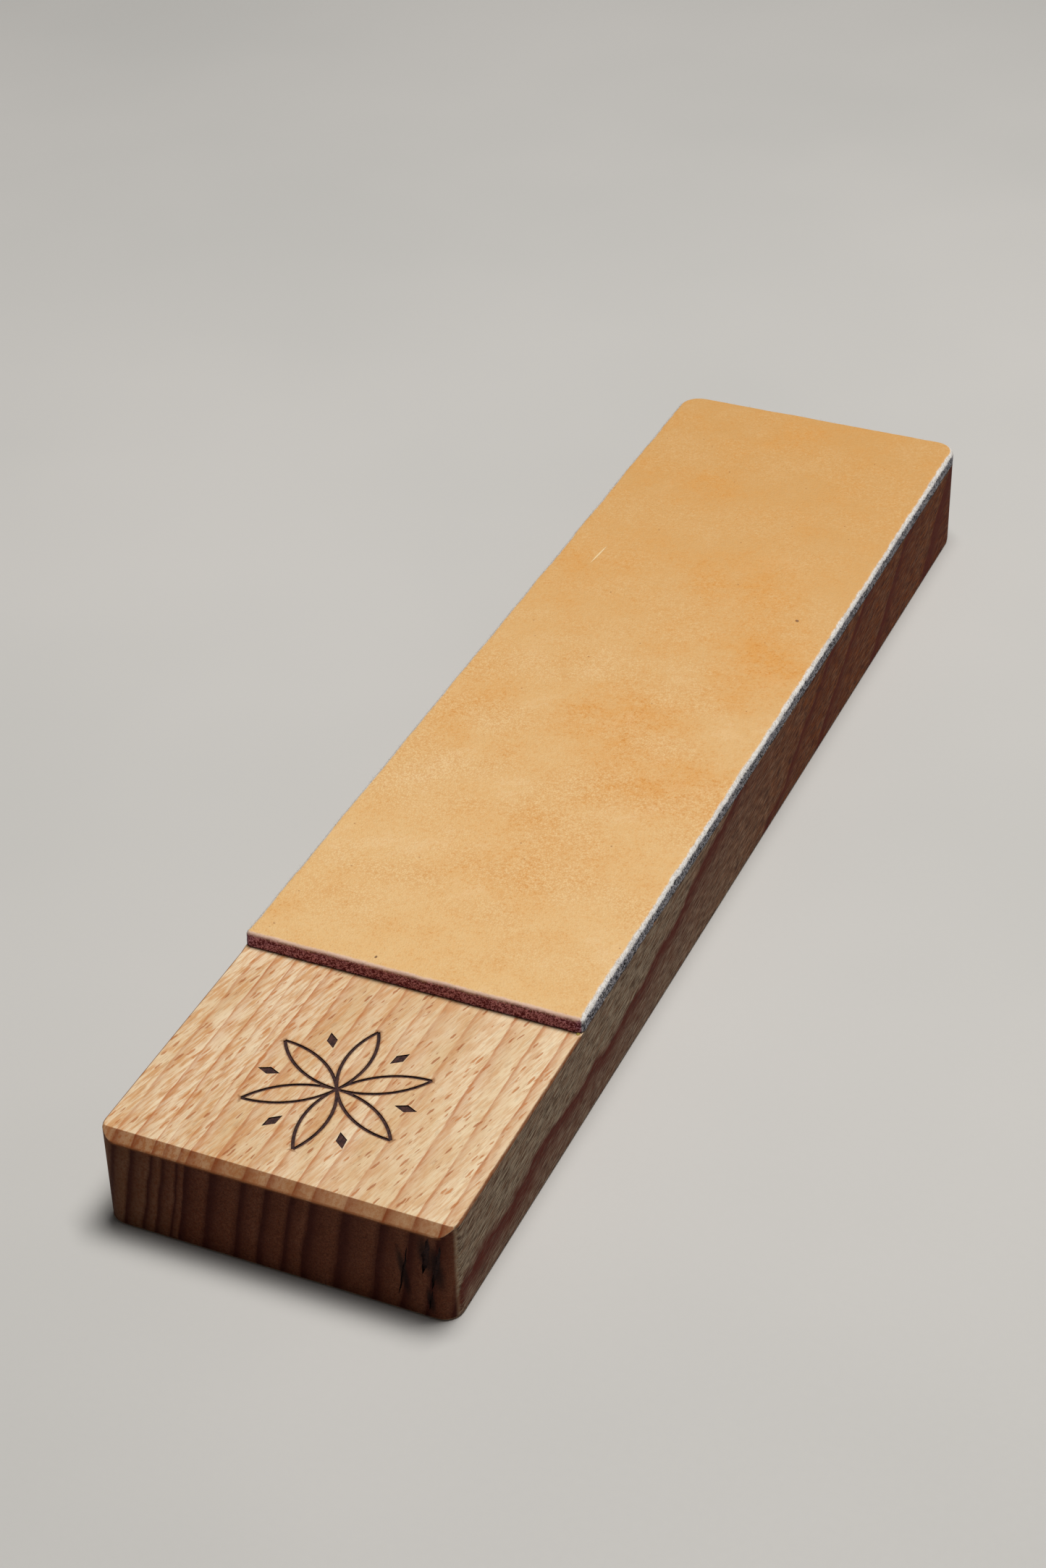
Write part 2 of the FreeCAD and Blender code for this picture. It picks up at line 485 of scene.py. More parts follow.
def make_fibres():
    """Short stray fibres that stand out of the leather's worn edge, in uneven tufts."""
    draw = random.Random(7)
    outline = leather_outline(0.2 * MM)
    vertices, faces = [], []
    for point, normal in outline:
        tuft = noise.noise(Vector((point.x, point.y, 0.02)) / TUFT_SIZE)
        on_front = normal.y < -0.5
        chance = FIBRE_CHANCE + TUFT_STRENGTH * tuft
        for attempt in range(FIBRE_TRIES):
            if draw.random() > chance:
                continue
            radius = leather_rounding(point)
            turn = math.radians(draw.uniform(FIBRE_LOWEST, FIBRE_HIGHEST))
            if turn < 0:
                height = LEATHER_HIGH.z - radius - draw.uniform(0, 1.2) * MM
                inset = 0
            else:
                height = LEATHER_HIGH.z - radius * (1 - math.sin(turn))
                inset = radius * (1 - math.cos(turn))
            out = Vector((normal.x, normal.y, 0))
            start = Vector((point.x, point.y, height)) - out * (inset + ROOT_DEPTH)
            lean = scatter(draw) * FIBRE_STRAY
            turn = max(turn, 0)
            aim = out * math.cos(turn) + Vector((0, 0, math.sin(turn))) + lean
            curl = scatter(draw) * FIBRE_CURL
            length = min((abs(draw.gauss(0.16, 0.2)) + 0.1) * MM, FIBRE_LONGEST)
            if on_front:
                length *= FRONT_FIBRE_LENGTH
            thickness = draw.uniform(*FIBRE_THICKNESS) * MM
            join(vertices, faces, fibre(start, aim.normalized(), curl, length, thickness))
    fibres = new_object("leather_fibres", vertices, faces)
    fibres.data.materials.append(fibre_material())
    return fibres


# -------------------- adhesive

def make_adhesive():
    """Film whose edge wanders in and out under the leather, with a bead at the corner."""
    inset_from_leather = LEATHER_HIGH.y - GLUE_HIGH.y
    film_low = Vector((GLUE_LOW.x, LEATHER_LOW.y + inset_from_leather, GLUE_LOW.z))
    outline = rounded_outline(film_low, GLUE_HIGH, LEATHER_FRONT_CORNER_RADIUS,
                              FAR_CORNER_RADIUS, 0.8 * MM)
    rings = []
    thickness = LEATHER_LOW.z - BLOCK_HIGH.z
    for share, inset in FILM_SECTION:
        ring = []
        for p, n in outline:
            wander = noise.noise(Vector((p.x, p.y, 0)) / FILM_WANDER_LENGTH) * FILM_WANDER
            depth = inset * MM - wander
            ring.append((p.x - n.x * depth, p.y - n.y * depth,
                         BLOCK_HIGH.z + thickness * share))
        rings.append(ring)
    film = skin_rings("adhesive_film", rings)
    bead = glue_bead()
    joined = bmesh.new()
    joined.from_mesh(film.data)
    joined.from_mesh(bead.data)
    joined.to_mesh(film.data)
    joined.free()
    bpy.data.objects.remove(bead)
    film.data.shade_smooth()
    film.data.materials.append(adhesive_material())
    return film


def glue_bead():
    """Small dried dome of adhesive, squeezed out where the leather meets the grip."""
    around, levels = 20, 6
    rings = []
    for level in range(levels):
        turn = math.pi / 2 * level / levels
        ring = []
        for step in range(around):
            angle = 2 * math.pi * step / around
            lump = 1 + 0.25 * noise.noise(Vector((math.cos(angle), math.sin(angle), level / 6)))
            reach = math.cos(turn) * lump
            ring.append(BEAD_PLACE + Vector((BEAD_HALF_WIDTH * reach * math.cos(angle),
                                         BEAD_HALF_LENGTH * reach * math.sin(angle),
                                         BEAD_HEIGHT * math.sin(turn))))
        rings.append(ring)
    return skin_rings("glue_bead", rings)


# -------------------- shader helpers

class Graph:
    """One material's node tree, with short ways to add the nodes it is written with.

    place is the place on the piece in millimetres.
    """

    def __init__(self, name):
        self.material = bpy.data.materials.new(name)
        self.material.use_nodes = True
        self.tree = self.material.node_tree
        self.shader = self.tree.nodes["Principled BSDF"]
        coordinates = self.node("ShaderNodeTexCoord").outputs["Object"]
        self.place = self.vector("MULTIPLY", coordinates, [1 / MM] * 3)

    def node(self, kind, inputs=(), **settings):
        """Adds a node. inputs maps an input's name or number to a value or a socket."""
        made = self.tree.nodes.new(kind)
        for key, value in settings.items():
            setattr(made, key, value)
        for key, value in dict(inputs).items():
            self.put(made.inputs[key], value)
        return made

    def put(self, socket, value):
        if isinstance(value, bpy.types.NodeSocket):
            self.tree.links.new(value, socket)
        else:
            socket.default_value = value

    def math(self, operation, a, b=0.0, c=0.0):
        return self.node("ShaderNodeMath", {0: a, 1: b, 2: c}, operation=operation).outputs[0]

    def times(self, first, *others):
        for other in others:
            first = self.math("MULTIPLY", first, other)
        return first

    def vector(self, operation, a, b=(0, 0, 0)):
        """Arithmetic on vectors, where a length or a distance comes out as a number."""
        made = self.node("ShaderNodeVectorMath", {0: a, 1: b}, operation=operation)
        return made.outputs[1 if operation in ("LENGTH", "DISTANCE") else 0]

    def parts(self, vector):
        """A vector's X, Y and Z."""
        return self.node("ShaderNodeSeparateXYZ", {0: vector}).outputs

    def stretch(self, vector, sizes, turn=(0, 0, 0)):
        """Turns a vector in millimetres, then divides it by a size along each axis."""
        turned = self.node("ShaderNodeMapping", {"Vector": vector, "Rotation": turn}).outputs[0]
        return self.vector("DIVIDE", turned, sizes)

    def noise(self, vector, detail=2.0, roughness=0.5, distortion=0.0, output=0):
        """Noise with lumps of about one unit. Output 1 gives three of them as a vector."""
        return self.node("ShaderNodeTexNoise", {
            "Vector": vector, "Scale": 1.0, "Detail": detail, "Roughness": roughness,
            "Distortion": distortion}).outputs[output]

    def lumps(self, sizes, detail=2.0, roughness=0.5, turn=(0, 0, 0), **others):
        """Noise whose lumps have the given sizes in millimetres."""
        return self.noise(self.stretch(self.place, sizes, turn), detail, roughness, **others)

    def cells(self, vector):
        """Nearest-point cells: (distance, a random number per cell)."""
        cells = self.node("ShaderNodeTexVoronoi", {"Vector": vector, "Scale": 1.0})
        pick = self.node("ShaderNodeSeparateColor", {0: cells.outputs["Color"]}).outputs[0]
        return cells.outputs["Distance"], pick

    def span(self, value, low, high, low_out=0.0, high_out=1.0):
        """Smooth step from low_out at low to high_out at high."""
        return self.node("ShaderNodeMapRange", {
            "Value": value, "From Min": low, "From Max": high,
            "To Min": low_out, "To Max": high_out}, interpolation_type="SMOOTHSTEP").outputs[0]

    def ramp(self, value, stops):
        """Number that follows a list of (place, level)."""
        made = self.node("ShaderNodeValToRGB", {0: value})
        elements = made.color_ramp.elements
        while len(elements) < len(stops):
            elements.new(0.5)
        for element, (where, level) in zip(elements, stops):
            element.position = where
            element.color = (level, level, level, 1)
        return made.outputs[0]

    def count(self, value, marks, reach):
        """How many marks lie below a value, with the fraction of the way to the next one."""
        low, high = reach
        share = self.math("DIVIDE", self.math("SUBTRACT", value, low), high - low)
        made = self.node("ShaderNodeFloatCurve", {"Value": share})
        curve = made.mapping.curves[0]
        for number, mark in enumerate(marks, start=1):
            curve.points.new((mark - low) / (high - low), number / (len(marks) + 1))
        for point in curve.points:
            point.handle_type = "VECTOR"
        made.mapping.update()
        return self.times(made.outputs[0], len(marks) + 1.0)

    def ellipse(self, middle, half_sizes, plane, turn):
        """Distance from an ellipse's middle, 1 at its outline, measured in one plane."""
        offset = self.vector("MULTIPLY", self.vector("SUBTRACT", self.place, middle), plane)
        return self.vector("LENGTH", self.stretch(offset, half_sizes, turn))

    def marks(self, marks):
        """Small elliptical marks on the top: 1 inside, fading at their outlines."""
        inside = 0.0
        for right, from_end, half_width, half_length, turn in marks:
            middle = (right, BLOCK_LOW.y / MM + from_end, 0)
            reach = self.ellipse(middle, (half_width, half_length, 1), (1, 1, 0), (0, 0, turn))
            inside = self.math("MAXIMUM", self.span(reach, 0.6, 1.15, 1, 0), inside)
        return inside

    def mix(self, share, a, b, blend="MIX"):
        made = self.node("ShaderNodeMix", {0: share}, data_type="RGBA", blend_type=blend)
        self.put(made.inputs[6], a)
        self.put(made.inputs[7], b)
        return made.outputs[2]

    def bump(self, height, distance, strength=1.0, under=None):
        made = self.node("ShaderNodeBump", {"Height": height, "Distance": distance,
                                            "Strength": strength})
        if under is not None:
            self.put(made.inputs["Normal"], under)
        return made.outputs[0]

    def finish(self, colour, roughness, normal, **fixed):
        self.put(self.shader.inputs["Base Color"], colour)
        self.put(self.shader.inputs["Roughness"], roughness)
        self.put(self.shader.inputs["Normal"], normal)
        for name, value in fixed.items():
            self.shader.inputs[name.replace("_", " ")].default_value = value
        return self.material


def tint(red, green, blue):
    """Colour given as it looks on a screen, 0 to 255, turned into linear light."""
    def linear(level):
        level /= 255
        return level / 12.92 if level <= 0.04045 else ((level + 0.055) / 1.055) ** 2.4
    return (linear(red), linear(green), linear(blue), 1)


# -------------------- wood materials

# Growth rings: where their dark lines cross the grip, in millimetres from its middle. The
# last ones come out on the right side. The rings lean as they go down, and swing to the
# left along the block.
RING_LINES = (-28.9, -25.6, -22.0, -19.8, -17.0, -15.5, -10.8, -5.0, -0.5, 4.2, 7.7, 13.7,
              20.5, 25.7, 30.2, 34.7, 39.4, 41.8, 45.8, 50.5)
RING_RANGE = (-38.0, 60.0)
RING_TILT = 0.17
RING_DRIFT_START = 50       # millimetres from the grip end
RING_DRIFT = 3.9e-4

# The fibres lean off the block's length: to the right on the top, and up on the sides
TOP_GRAIN_TURN = (0, 0, math.radians(13))
SIDE_GRAIN_TURN = (math.radians(-9), 0, 0)


def growth_rings(g):
    """How far through its growth ring a point lies, 0 at the dark line, and its strength."""
    past = g.math("MAXIMUM", g.math("SUBTRACT", g.y, BLOCK_LOW.y / MM + RING_DRIFT_START), 0.0)
    drift = g.times(past, past, RING_DRIFT)
    below = g.math("SUBTRACT", BLOCK_HIGH.z / MM, g.z)
    across = g.math("ADD", g.math("MULTIPLY_ADD", below, RING_TILT, g.x), drift)
    for sizes, detail, sway in (((30, 80, 30), 2, 1.6), ((2.6, 10, 7), 3, 1.0)):
        wander = g.math("SUBTRACT", g.lumps(sizes, detail), 0.5)
        across = g.math("MULTIPLY_ADD", wander, sway, across)
    count = g.count(across, RING_LINES, RING_RANGE)
    number = g.math("FLOOR", count)
    strength = g.node("ShaderNodeTexWhiteNoise", {"W": number},
                      noise_dimensions="1D").outputs["Value"]
    return g.math("FRACT", count), strength


def along_grain(g, vector, sizes):
    """Vector divided by sizes across and along the fibres, which lie in each face's plane."""
    made = g.node("ShaderNodeMix", {0: g.sideways}, data_type="VECTOR")
    g.put(made.inputs[4], g.stretch(vector, sizes, TOP_GRAIN_TURN))
    g.put(made.inputs[5], g.stretch(vector, sizes, SIDE_GRAIN_TURN))
    return made.outputs[1]


def fleck_marks(g, sizes, threshold, largest):
    """Scattered dashes as long and wide as the cell sizes allow, in millimetres."""
    sway = g.vector("MULTIPLY", g.lumps((1.1, 2.4, 1.1), 1, output=1), (0.5, 0.5, 0.5))
    distance, pick = g.cells(along_grain(g, g.vector("ADD", g.place, sway), sizes))
    fray = g.noise(along_grain(g, g.place, (0.22, 0.8, 0.22)))
    size = g.math("MULTIPLY_ADD", fray, -0.3, g.span(pick, threshold, 1.0, 0.15, largest))
    return g.times(g.span(g.math("SUBTRACT", size, distance), -0.04, 0.10), g.lengthwise)


class Beech(Graph):
    """The block's material, with the faces, noises and marks that its colours share."""

    def __init__(self):
        super().__init__("beech")
        self.x, self.y, self.z = self.parts(self.place)
        self.ring, self.strength = growth_rings(self)
        self.find_faces()
        self.clouds = self.lumps((6, 22, 6), 3, 0.55)
        self.broken = self.lumps((1.2, 6, 1.2))
        self.pores = self.lumps((0.22, 2.0, 0.22), 2, 0.6)
        self.flame = self.grain((0.6, 4.6, 0.6), 0.6)
        self.streak = self.grain((0.14, 3.0, 0.14), 0.6)
        self.coarse_streak = self.grain((0.25, 3.4, 0.25), 0.65)
        self.fibres = self.grain((0.16, 4.5, 0.16), 0.65)
        self.fleck = fleck_marks(self, (0.68, 3.7, 0.68), 0.18, 0.52)
        self.dash = fleck_marks(self, (0.24, 3.4, 0.22), 0.0, 0.56)

    def find_faces(self):
        """How far each kind of face shows, from the direction that the surface faces."""
        normal = self.node("ShaderNodeTexCoord").outputs["Normal"]
        across, along, up = [self.math("ABSOLUTE", part) for part in self.parts(normal)]
        self.cut_across = self.span(along, 0.28, 0.6)
        self.lengthwise = self.math("SUBTRACT", 1.0, self.cut_across)
        self.sideways = self.math("GREATER_THAN", across, up)
        self.on_side = self.times(self.span(across, 0.45, 0.8), self.lengthwise)
        self.on_end = self.times(self.cut_across, self.span(up, 0.2, 0.6, 1.0, 0.0))
        self.on_chamfer = self.times(self.cut_across, self.span(up, 0.3, 0.6))

    def grain(self, sizes, roughness):
        """Noise drawn out along the fibres."""
        return self.noise(along_grain(self, self.place, sizes), 3, roughness)


def top_colour(g):
    """Pale cream with orange flames, growth rings, ray flecks and vessel dashes."""
    colour = g.mix(g.span(g.clouds, 0.32, 0.7), tint(238, 217, 184), tint(220, 190, 148))
    colour = g.mix(g.span(g.x, 8, 26, 0.0, 0.4), colour, tint(242, 224, 188))
    warm = g.times(g.span(g.flame, 0.40, 0.66), g.span(g.x, -22, 14, 0.82, 0.5))
    colour = g.mix(warm, colour, tint(206, 150, 95))
    colour = g.mix(g.span(g.streak, 0.45, 0.75, 0.0, 0.4), colour, tint(200, 144, 92))
    colour = g.mix(g.span(g.streak, 0.26, 0.42, 0.4, 0.0), colour, tint(248, 233, 206))

    # Each ring is a thin dark line that fades away over the rest of the ring
    line = g.ramp(g.ring, [(0.0, 1.0), (0.05, 0.9), (0.11, 0.5), (0.34, 0.22), (0.7, 0.03),
                           (0.965, 0.0), (1.0, 0.9)])
    line = g.times(line, g.span(g.broken, 0.25, 0.6, 0.4, 1.0),
                   g.math("MULTIPLY_ADD", g.strength, 0.5, 0.5))
    colour = g.mix(g.times(line, 0.92), colour, tint(182, 106, 54))

    rust = g.mix(g.span(g.clouds, 0.35, 0.65), tint(196, 126, 72), tint(164, 94, 52))
    colour = g.mix(g.times(g.fleck, 0.78), colour, rust)
    return g.mix(g.times(g.dash, 0.16), colour, tint(150, 92, 52))


def side_colour(g):
    """Grey streaks and dark dashes, warmer towards the far end, all darker and greyer than the
    top: partly the sides' own tone, partly painted shade, as the sides face away from the light.

    Dark red bands cross the sides where the rings come out at a slant.
    """
    dark_streak = g.span(g.coarse_streak, 0.40, 0.60)
    colour = g.mix(dark_streak, tint(178, 160, 136), tint(90, 68, 51))
    colour = g.mix(g.span(g.flame, 0.42, 0.66, 0.0, 0.45), colour, tint(128, 82, 52))
    farther = g.span(g.y, BLOCK_LOW.y / MM + 70, BLOCK_LOW.y / MM + 180)
    warmth = g.times(farther, g.span(g.flame, 0.36, 0.6, 0.75, 1.0))
    colour = g.mix(warmth, colour, g.mix(dark_streak, tint(142, 74, 22), tint(72, 26, 6)))
    band = g.ramp(g.ring, [(0.0, 1.0), (0.06, 0.9), (0.15, 0.45), (0.38, 0.2), (0.7, 0.03),
                           (0.95, 0.0), (1.0, 0.9)])
    band = g.times(band, g.span(g.coarse_streak, 0.3, 0.5, 0.75, 1.0))
    colour = g.mix(band, colour, tint(92, 24, 6))
    return g.mix(g.times(g.dash, 0.85), colour, tint(58, 34, 24))


def cut_tints(g):
    """What darkens the chamfer and the ends, which are cut across the fibres. The ends' dark
    tones are partly their end grain and partly painted shade for the grip end, which faces away
    from the light.
    """
    stripe = g.ramp(g.ring, [(0.0, 0.9), (0.12, 1.0), (0.32, 0.45), (0.65, 0.08),
                             (0.82, 0.0), (1.0, 0.8)])
    bevel = g.mix(g.times(stripe, 0.6), tint(206, 178, 160), tint(172, 126, 106))
    end = g.mix(g.span(g.pores, 0.3, 0.75), tint(138, 95, 82), tint(97, 60, 51))
    end = g.mix(g.span(g.x, -31, -12, 0.75, 0.0), end, tint(138, 114, 104))
    end = g.mix(g.times(stripe, 0.85), end, tint(72, 28, 26))
    end = g.mix(g.times(check_shadows(g), 0.85), end, tint(34, 20, 24))
    return bevel, end


def browned_arrises(g):
    """Thin brown lines, broken in places, along the grip's bare top side edges and along the
    foot of its chamfer.
    """
    side, top, front = BLOCK_HIGH.x / MM, BLOCK_HIGH.z / MM, BLOCK_LOW.y / MM
    near_edge = g.span(g.math("ABSOLUTE", g.x), side - 0.5, side - 0.2)
    near_top = g.span(g.z, top - 0.6, top - 0.35)
    bare = g.span(g.y, LEATHER_LOW.y / MM - 1, LEATHER_LOW.y / MM, 1, 0)
    arris = g.times(near_edge, near_top, bare)
    chamfer_foot = g.math("ABSOLUTE", g.math("SUBTRACT", g.z, top - GRIP_CHAMFER / MM))
    at_foot = g.times(g.span(chamfer_foot, 0.1, 0.4, 1.0, 0.0),
                      g.span(g.y, front + 0.2, front + 0.4, 1.0, 0.0))
    return g.times(g.math("MAXIMUM", arris, at_foot), g.span(g.broken, 0.2, 0.6, 0.45, 0.85))


def beech_material():
    g = Beech()
    bevel, end = cut_tints(g)
    colour = g.mix(g.on_side, top_colour(g), side_colour(g))
    colour = g.mix(g.on_chamfer, colour, g.mix(1.0, colour, bevel, "MULTIPLY"))
    colour = g.mix(g.on_end, colour, g.mix(1.0, colour, end, "MULTIPLY"))
    colour = g.mix(browned_arrises(g), colour, tint(128, 74, 40))
    colour = g.mix(scorch_halo(g), colour, tint(132, 84, 46))

    surface = g.bump(g.fibres, 0.06 * MM, 0.6)
    surface = g.bump(g.math("MAXIMUM", g.fleck, g.dash), -0.05 * MM, 0.6, surface)
    surface = g.bump(g.pores, 0.12 * MM, g.times(g.on_end, 0.5), surface)
    sawn = g.math("MAXIMUM", g.on_side, g.cut_across)
    roughness = g.math("MULTIPLY_ADD", sawn, 0.26, g.span(g.fibres, 0.2, 0.8, 0.5, 0.66))
    return g.finish(colour, roughness, surface, Specular_IOR_Level=0.15)


def check_shadows(g):
    """Soft painted shade in the end grain round the drying checks."""
    total = 0.0
    for right, low, high, width in END_CHECKS:
        half_length = (high - low) / 2
        middle = (right - CHECK_LEAN * half_length, 0, (low + high) / 2)
        reach = g.ellipse(middle, (width + 0.5, 1, half_length + 0.6), (1, 0, 1),
                          (0, math.atan(CHECK_LEAN), 0))
        total = g.math("MAXIMUM", g.span(reach, 0.3, 1.2, 1, 0), total)
    return total


def rosette_distance(g):
    """Distance in millimetres from the middle of the nearest burnt line of the rosette."""
    radius = ROSETTE_RADIUS / MM
    flat = g.vector("MULTIPLY", g.place, (1, 1, 0))

    def past_circle(middle):
        away = g.vector("DISTANCE", flat, (middle.x / MM, middle.y / MM, 0))
        return g.math("SUBTRACT", away, radius)

    nearest = radius
    for turn, rim in petal_arcs():
        nearest = g.math("MINIMUM", g.math("ABSOLUTE", past_circle(rim)), nearest)
    return g.math("MAXIMUM", nearest, past_circle(ROSETTE_CENTRE))


def scorch_halo(g):
    """Faint browning of the wood beside the burnt lines, on the top face only."""
    on_top = g.span(g.z, BLOCK_HIGH.z / MM - 1.5, BLOCK_HIGH.z / MM - 0.5)
    reach = g.span(g.lumps((0.8, 0.8, 0.8)), 0.3, 0.7, 0.5, 0.85)
    return g.times(on_top, 0.7, g.span(rosette_distance(g), 0.25, reach, 1, 0))


# Charred wood for the burnt rosette lines; the same near-black also lines the drying checks as
# painted shade.
def scorch_and_check_shade_material():
    g = Graph("scorched_beech_and_check_shade")
    char = g.lumps((0.35, 0.8, 0.35), 3, 0.6)
    colour = g.mix(g.span(char, 0.3, 0.75), tint(40, 26, 28), tint(86, 58, 52))
    return g.finish(colour, g.span(char, 0.2, 0.8, 0.7, 0.9), g.bump(char, 0.08 * MM, 0.6),
                    Specular_IOR_Level=0.2)


# -------------------- leather materials

# Patches where the hide has darkened to orange: how far right of the middle and how far
# from the grip end they lie, their half width and half length, all in millimetres, and
# how strong they are
BLUSHES = (
    (20, 122, 17, 12, 0.75),
    (3, 92, 15, 18, 0.35),
    (24, 168, 11, 15, 0.9),
    (5, 140, 14, 11, 0.75),
    (11, 196, 12, 14, 0.55),
    (-23, 192, 12, 15, 0.35),
    (-14, 231, 9, 8, 0.3),
    (-1, 258, 12, 9, 0.25),
    (-26, 132, 6, 16, 0.35),
)

# Nicks and scratches: how far right of the middle and from the grip end, half width and half
# length in millimetres, and turn
LEATHER_NICKS = ((-7.6, 55.3, 0.24, 0.40, 0.0), (23.8, 186.7, 0.50, 0.38, 0.9))
LEATHER_SCRATCHES = ((-23.8, 196.0, 0.25, 3.8, 0.08),)


def blush_patches(g):
    """Sum of the soft darker patches, with their outlines broken up."""
    sway = g.vector("MULTIPLY", g.lumps((9, 9, 9), 3, output=1), (22, 22, 0))
    spot = g.vector("ADD", g.place, g.vector("SUBTRACT", sway, (11, 11, 0)))
    total = 0.0
    for right, from_end, half_width, half_length, strength in BLUSHES:
        away = g.vector("SUBTRACT", spot, (right, BLOCK_LOW.y / MM + from_end, 0))
        away = g.vector("MULTIPLY", away, (1 / half_width, 1 / half_length, 0))
        total = g.math("ADD", g.span(g.vector("LENGTH", away), 0.0, 1.5, strength, 0.0), total)
    return total


class Hide(Graph):
    """The leather's material, with the noises and marks that its colours share."""

    def __init__(self):
        super().__init__("strop_leather")
        self.x, y, self.z = self.parts(self.place)
        self.from_front = self.math("SUBTRACT", y, LEATHER_LOW.y / MM)
        self.far = self.span(y, LEATHER_LOW.y / MM, LEATHER_HIGH.y / MM)
        self.cloud = self.lumps((11, 14, 11), 4, 0.6, turn=(0, 0, 0.6))
        self.mottle = self.lumps((2.6, 3.2, 2.6), 3, 0.6, turn=(0, 0, 0.6))
        self.speckle = self.lumps((0.62, 0.66, 0.62), 3, 0.72)
        self.pebble_distance, self.pebble_pick = self.cells(
            self.stretch(self.place, (0.38, 0.41, 0.38)))
        self.nick = self.marks(LEATHER_NICKS)
        self.scratch = self.marks(LEATHER_SCRATCHES)
        self.find_edge()

    def find_edge(self):
        """How far a place lies past the flat top, and how the fibres stand there."""
        from_side = self.math("SUBTRACT", LEATHER_HIGH.x / MM, self.math("ABSOLUTE", self.x))
        nearer_side = self.math("SUBTRACT", self.from_front, from_side)
        self.to_grip = self.span(nearer_side, -0.25, 0.25, 1, 0)
        past, ridge = [self.node("ShaderNodeAttribute", attribute_name=name).outputs["Fac"]
                       for name in ("past_flat", "ridge")]
        wander = self.math("SUBTRACT", self.lumps((1.6, 1.6, 1.6), 4, 0.65), 0.5)
        self.past = self.math("MULTIPLY_ADD", wander, 0.8, past)
        rim_end = self.math("MULTIPLY_ADD", self.to_grip, -0.7, 1.6)
        self.below_rim = self.math("SUBTRACT", self.past, rim_end)
        fine_fuzz = self.lumps((0.23, 0.23, 0.23), 2, 0.65, distortion=0.9)
        self.fuzz = self.math("MULTIPLY_ADD", ridge, 0.22, self.times(fine_fuzz, 0.78))


def grain_colour(g):
    """Honey tan that deepens towards the far end, with orange patches, specks and pores."""
    # The tan deepens and the pale patches fade from the near end to the far end: partly the
    # hide's own tone, partly painted light, the near end painted brighter with more sheen.
    colour = g.mix(g.far, tint(231, 190, 131), tint(213, 163, 98))
    patches = g.math("MULTIPLY_ADD", g.span(g.cloud, 0.42, 0.72), 0.35, blush_patches(g))
    patches = g.times(patches, g.span(g.mottle, 0.3, 0.62, 0.5, 1.2))
    patches = g.math("MINIMUM", patches, 1.0)
    colour = g.mix(g.times(patches, 0.75), colour, tint(222, 156, 74))
    pale = g.times(g.span(g.cloud, 0.3, 0.5, 0.4, 0.0), g.span(g.mottle, 0.35, 0.6),
                   g.span(g.far, 0.2, 0.7, 1.0, 0.25))
    colour = g.mix(pale, colour, tint(240, 208, 160))

    # Specks and pebbled grain, which fade over the far half and in some places. The lighter
    # pebbles and the darker rims round them are partly the grain's own colour and partly painted
    # highlight and shade of its relief.
    fading = g.span(g.from_front, 70, 150, 1.0, 0.5)
    specks = g.times(g.span(g.speckle, 0.52, 0.66),
                     g.math("MULTIPLY_ADD", patches, 0.6, g.times(fading, 0.26)))
    colour = g.mix(specks, colour, tint(208, 137, 54))
    crisp = g.times(g.span(g.lumps((19, 13, 19)), 0.36, 0.62, 0.3, 1.0), fading,
                    g.span(g.from_front, 0, 30, 0.4, 1.0))
    for value, low, high, low_out, high_out, shade in (
            (g.speckle, 0.36, 0.48, 0.36, 0.0, tint(248, 218, 166)),
            (g.pebble_pick, 0.0, 1.0, 0.0, 0.3, tint(246, 213, 158)),
            (g.pebble_distance, 0.35, 0.75, 0.0, 0.34, tint(196, 131, 61))):
        share = g.times(g.span(value, low, high, low_out, high_out), crisp)
        colour = g.mix(share, colour, shade)

    # Sparse dark pores, then the nicks and the scratch
    pore_distance, pore_pick = g.cells(g.stretch(g.place, (2.6, 2.8, 2.6)))
    pore_size = g.span(pore_pick, 0.66, 1.0, 0.0, 0.085)
    pore = g.span(g.math("SUBTRACT", pore_size, pore_distance), -0.01, 0.03)
    for mark, share, shade in ((pore, 0.6, tint(146, 88, 48)),
                               (g.nick, 0.8, tint(112, 74, 56)),
                               (g.scratch, 0.7, tint(250, 226, 180))):
        colour = g.mix(g.times(mark, share), colour, shade)
    return colour


def rim_colour(g):
    """Pale worn rim of the cut edge, dull in places and tan where it faces the grip. Its white
    is partly the pale fibres and partly a painted highlight where the rounded rim catches the
    light.
    """
    rim = g.mix(g.span(g.fuzz, 0.38, 0.56), tint(196, 192, 188), tint(244, 242, 238))
    uneven = g.lumps((3.2, 5.5, 3.2), 3, 0.6)
    dull = g.math("MAXIMUM", g.span(uneven, 0.5, 0.64, 0.0, 0.4), g.span(g.x, -10, 10, 0.6, 0.0))
    dull = g.times(dull, g.span(g.fuzz, 0.38, 0.62, 1.0, 0.45))
    rim = g.mix(dull, rim, tint(150, 142, 140))
    return g.mix(g.to_grip, rim, tint(232, 198, 176))


def fibrous_colour(g):
    """Loose fibres under the rim: light over dark, and dark red where they face the grip. The
    near-black between the fibres is painted shade, and the cool grey at the sides and the dark
    red towards the grip are painted light, cool at the sides and warm in front.
    """
    dark = g.mix(g.to_grip, tint(18, 16, 24), tint(98, 22, 38))
    light = g.mix(g.to_grip, tint(192, 190, 198), tint(212, 148, 166))
    fibrous = g.mix(g.span(g.fuzz, 0.45, 0.58), dark, light)
    # Painted shade along the bottom of the cut edge, where the leather meets the block.
    foot = g.span(g.z, BLOCK_HIGH.z / MM + 0.1, BLOCK_HIGH.z / MM + 0.45, 0.75, 0.0)
    return g.mix(foot, fibrous, tint(52, 32, 26))


